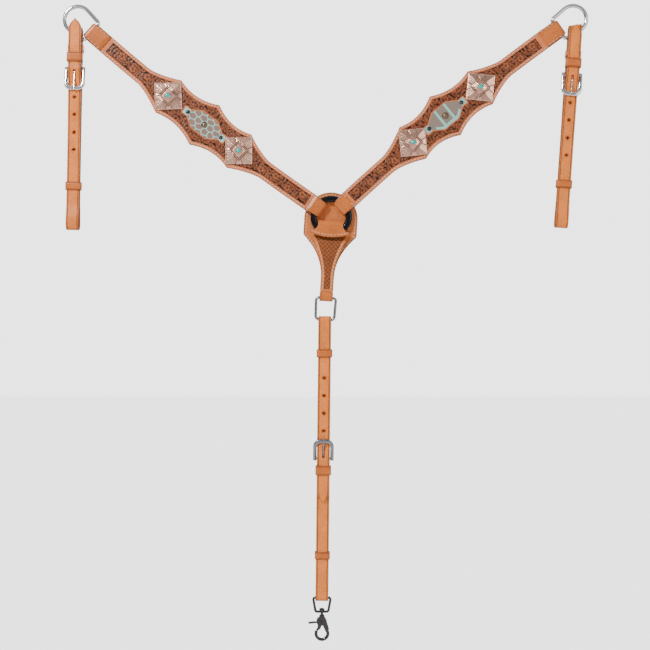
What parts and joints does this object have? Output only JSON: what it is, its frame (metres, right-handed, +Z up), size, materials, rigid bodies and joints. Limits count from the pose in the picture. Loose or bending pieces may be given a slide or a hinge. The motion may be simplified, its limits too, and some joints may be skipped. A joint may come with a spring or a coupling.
{
  "type": "breastplate",
  "caption": "Western breast collar: two scalloped tooled leather arms and a drop on a centre ring, buckled tug straps on dees and a strap with a snap.",
  "frame": {"origin": "centre of the middle ring", "axes": "+Z up as hung, front (tooled side) faces -Y, +X to the viewer's right"},
  "size_m": [0.762, 0.0247, 0.9243],
  "materials": {
    "tan_leather": "natural tan leather, oiled",
    "plain_loops": "smooth russet leather",
    "tooled_leather": "tooled and antiqued leather",
    "lining_leather": "plain lining leather",
    "keeper_leather": "dark edged keeper leather",
    "left_inlay": "painted textured inlay, pinkish beige with mint lines",
    "right_inlay": "brushed hair inlay, grey beige with mint bands",
    "black_spots": "glossy black",
    "stud_metal": "antique bronze",
    "concho_metal": "engraved copper-tinted silver, antiqued",
    "turquoise": "polished turquoise",
    "screw_metal": "nickelled",
    "bright_steel": "polished nickel plate",
    "grey_steel": "brushed dark stainless",
    "dark_steel": "dark polished steel",
    "black_nickel": "black nickel plate",
    "spring_steel": "bright spring wire"
  },
  "bodies": {
    "ring": {"centre_ring": "dark_steel"},
    "drop": {"ring_guard": "tan_leather", "guard_lining": "lining_leather", "centre_drop": "tooled_leather", "drop_ring_loop": "plain_loops"},
    "left_arm": {"left_arm_top": "tooled_leather", "left_arm_lining": "lining_leather", "left_ring_loop": "plain_loops", "left_dee_loop": "plain_loops", "left_inlay": "left_inlay", "left_inlay_spots": "black_spots", "left_stud": "stud_metal", "left_inner_concho": "concho_metal", "left_outer_concho": "concho_metal", "left_inner_stone": "turquoise", "left_outer_stone": "turquoise", "left_concho_screws": "screw_metal"},
    "left_dee_body": {"left_dee": "bright_steel"},
    "left_tug": {"left_tug_strap": "tan_leather", "left_buckle": "bright_steel", "left_upper_keeper": "keeper_leather", "left_rear_keeper": "keeper_leather"},
    "left_tongue_body": {"left_tongue": "bright_steel"},
    "left_slide_keeper": {"left_lower_keeper": "keeper_leather"},
    "right_arm": {"right_arm_top": "tooled_leather", "right_arm_lining": "lining_leather", "right_ring_loop": "plain_loops", "right_dee_loop": "plain_loops", "right_inlay": "right_inlay", "right_inlay_spots": "black_spots", "right_stud": "stud_metal", "right_inner_concho": "concho_metal", "right_outer_concho": "concho_metal", "right_inner_stone": "turquoise", "right_outer_stone": "turquoise", "right_concho_screws": "screw_metal"},
    "right_dee_body": {"right_dee": "bright_steel"},
    "right_tug": {"right_tug_strap": "tan_leather", "right_buckle": "bright_steel", "right_upper_keeper": "keeper_leather", "right_rear_keeper": "keeper_leather"},
    "right_tongue_body": {"right_tongue": "bright_steel"},
    "right_slide_keeper": {"right_lower_keeper": "keeper_leather"},
    "lower_ring_body": {"lower_ring": "grey_steel"},
    "centre_tie": {"centre_strap": "tan_leather", "centre_buckle": "grey_steel", "centre_upper_keeper": "keeper_leather", "centre_lower_keeper": "keeper_leather"},
    "centre_tongue_body": {"centre_tongue": "grey_steel"},
    "centre_slide_keeper": {"centre_top_keeper": "keeper_leather"},
    "snap_link": {"snap_dee": "black_nickel"},
    "snap_body": {"snap_stem": "black_nickel", "snap_hook": "black_nickel", "trigger_pin": "black_nickel", "trigger_spring": "spring_steel"},
    "snap_trigger_body": {"snap_trigger": "black_nickel"}
  },
  "joints": [
    {"name": "left_arm_fold", "type": "hinge", "parent": "ring", "child": "left_arm", "pos_m": [0, 0, 0], "axis": [0, 1, 0], "range_deg": [0, 10]},
    {"name": "left_dee_swing", "type": "hinge", "parent": "left_arm", "child": "left_dee_body", "pos_m": [-0.34748, 0, 0.26781], "axis": [0.6652, 0, 0.7466], "range_deg": [-40, 40]},
    {"name": "left_tug_swing", "type": "hinge", "parent": "left_dee_body", "child": "left_tug", "pos_m": [-0.3694, 0, 0.263], "axis": [0.8113, 0, -0.5846], "range_deg": [-5, 30]},
    {"name": "left_tongue_lift", "type": "hinge", "parent": "left_tug", "child": "left_tongue_body", "pos_m": [-0.37028, -0.0047, 0.2126], "axis": [-0.9998, 0, 0.0175], "range_deg": [0, 5]},
    {"name": "left_keeper_slide", "type": "slide", "parent": "left_tug", "child": "left_slide_keeper", "axis": [0.0175, 0, 0.9998], "range_m": [-0.01, 0.04]},
    {"name": "right_arm_fold", "type": "hinge", "parent": "ring", "child": "right_arm", "pos_m": [0, 0, 0], "axis": [0, -1, 0], "range_deg": [0, 10]},
    {"name": "right_dee_swing", "type": "hinge", "parent": "right_arm", "child": "right_dee_body", "pos_m": [0.32918, 0, 0.27144], "axis": [-0.5736, 0, 0.8192], "range_deg": [-40, 40]},
    {"name": "right_tug_swing", "type": "hinge", "parent": "right_dee_body", "child": "right_tug", "pos_m": [0.35268, 0, 0.26538], "axis": [0.874, 0, 0.486], "range_deg": [-5, 30]},
    {"name": "right_tongue_lift", "type": "hinge", "parent": "right_tug", "child": "right_tongue_body", "pos_m": [0.3484, -0.0047, 0.20413], "axis": [-0.9976, 0, 0.0698], "range_deg": [0, 5]},
    {"name": "right_keeper_slide", "type": "slide", "parent": "right_tug", "child": "right_slide_keeper", "axis": [0.0698, 0, 0.9976], "range_m": [-0.01, 0.04]},
    {"name": "drop_turn", "type": "hinge", "parent": "ring", "child": "drop", "pos_m": [0, 0, 0], "axis": [0, 1, 0], "range_deg": [-8, 8]},
    {"name": "lower_ring_swing", "type": "hinge", "parent": "drop", "child": "lower_ring_body", "pos_m": [-0.00722, 0.0015, -0.11798], "axis": [0.9981, 0, -0.061], "range_deg": [-35, 35]},
    {"name": "centre_tie_swing", "type": "hinge", "parent": "lower_ring_body", "child": "centre_tie", "pos_m": [-0.00915, 0.0015, -0.14952], "axis": [0.9981, 0, -0.061], "range_deg": [-35, 35]},
    {"name": "centre_tongue_lift", "type": "hinge", "parent": "centre_tie", "child": "centre_tongue_body", "pos_m": [-0.01125, -0.0032, -0.35011], "axis": [0.9999, 0, -0.0105], "range_deg": [0, 5]},
    {"name": "centre_keeper_slide", "type": "slide", "parent": "centre_tie", "child": "centre_slide_keeper", "axis": [-0.0105, 0, -0.9999], "range_m": [-0.005, 0.04]},
    {"name": "snap_swing", "type": "hinge", "parent": "centre_tie", "child": "snap_link", "pos_m": [-0.01337, 0.0015, -0.5525], "axis": [1, 0, 0], "range_deg": [-30, 30]},
    {"name": "snap_swivel", "type": "hinge", "parent": "snap_link", "child": "snap_body", "pos_m": [-0.01337, 0.0015, -0.5725], "axis": [0, 0, 1], "continuous": true},
    {"name": "trigger_pull", "type": "hinge", "parent": "snap_body", "child": "snap_trigger_body", "pos_m": [-0.01507, 0.0015, -0.5866], "axis": [0, -1, 0], "range_deg": [0, 28], "stiffness_Nm_per_rad": 0.03, "springref_deg": -20.05}
  ]
}
